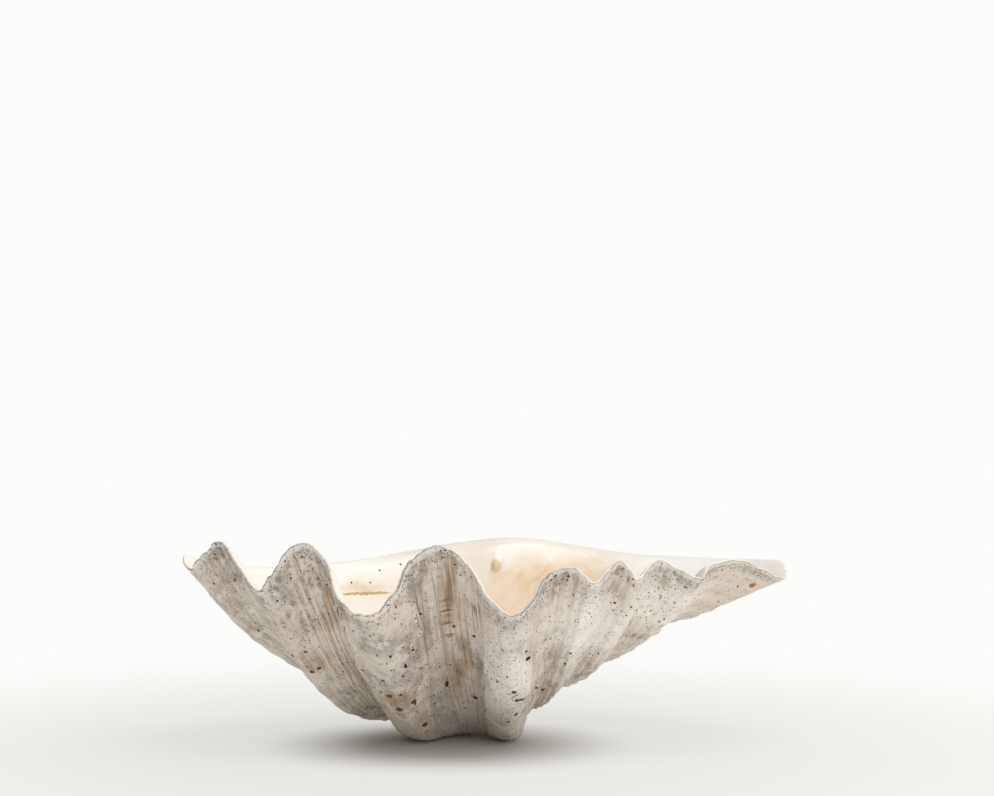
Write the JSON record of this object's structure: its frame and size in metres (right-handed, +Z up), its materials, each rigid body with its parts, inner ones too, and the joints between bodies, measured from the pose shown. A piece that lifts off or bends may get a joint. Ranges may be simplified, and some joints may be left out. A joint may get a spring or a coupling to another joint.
{
  "type": "giant clam shell",
  "caption": "Half shell of a giant clam lying hollow side up, with deep wavy folds along the front rim, a plain hinge margin at the back and a smooth pale bowl inside.",
  "frame": {"origin": "on the resting plane, under the middle of the box around the shell", "axes": "+X along the length, from the tall folds' end towards the plain tip; +Y from the folded front rim towards the hinge margin; +Z up out of the hollow"},
  "size_m": [0.339, 0.21, 0.1151],
  "materials": {
    "shell": "matt, chalky and pitted outside, smoother and creamier inside"
  },
  "bodies": {
    "root": {"valve": "shell"}
  },
  "joints": []
}
